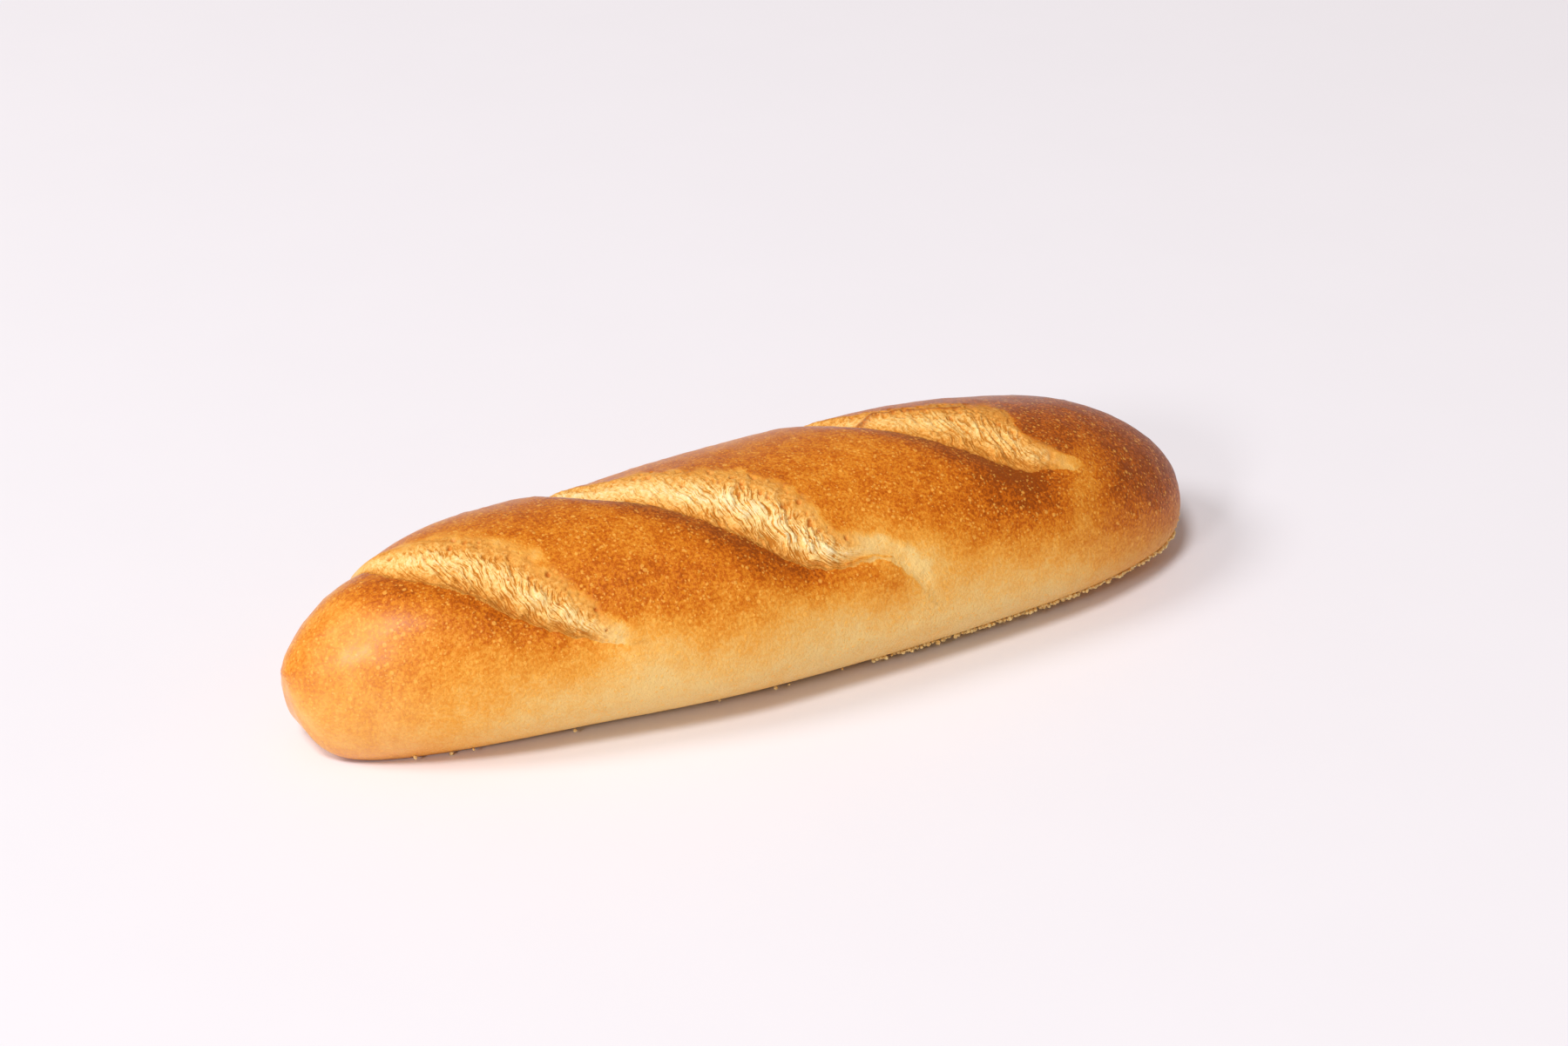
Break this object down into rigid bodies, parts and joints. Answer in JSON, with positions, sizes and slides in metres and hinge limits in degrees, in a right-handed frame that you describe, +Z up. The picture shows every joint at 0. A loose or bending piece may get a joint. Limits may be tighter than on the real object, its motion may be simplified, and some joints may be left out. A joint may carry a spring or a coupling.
{
  "type": "hoagie roll",
  "caption": "Long soft bread roll with a browned crust, diagonal slashes torn open across its top, and a flat base to rest on.",
  "frame": {"origin": "under the middle of the loaf, at the level of its flat base", "axes": "+X along the loaf towards its blunter end, +Z up"},
  "size_m": [0.1998, 0.0632, 0.04],
  "materials": {
    "crust": "browned bread crust with a soft sheen, paler along the lower sides and in the torn slashes"
  },
  "bodies": {
    "root": {"hoagie_roll": "crust"}
  },
  "joints": []
}
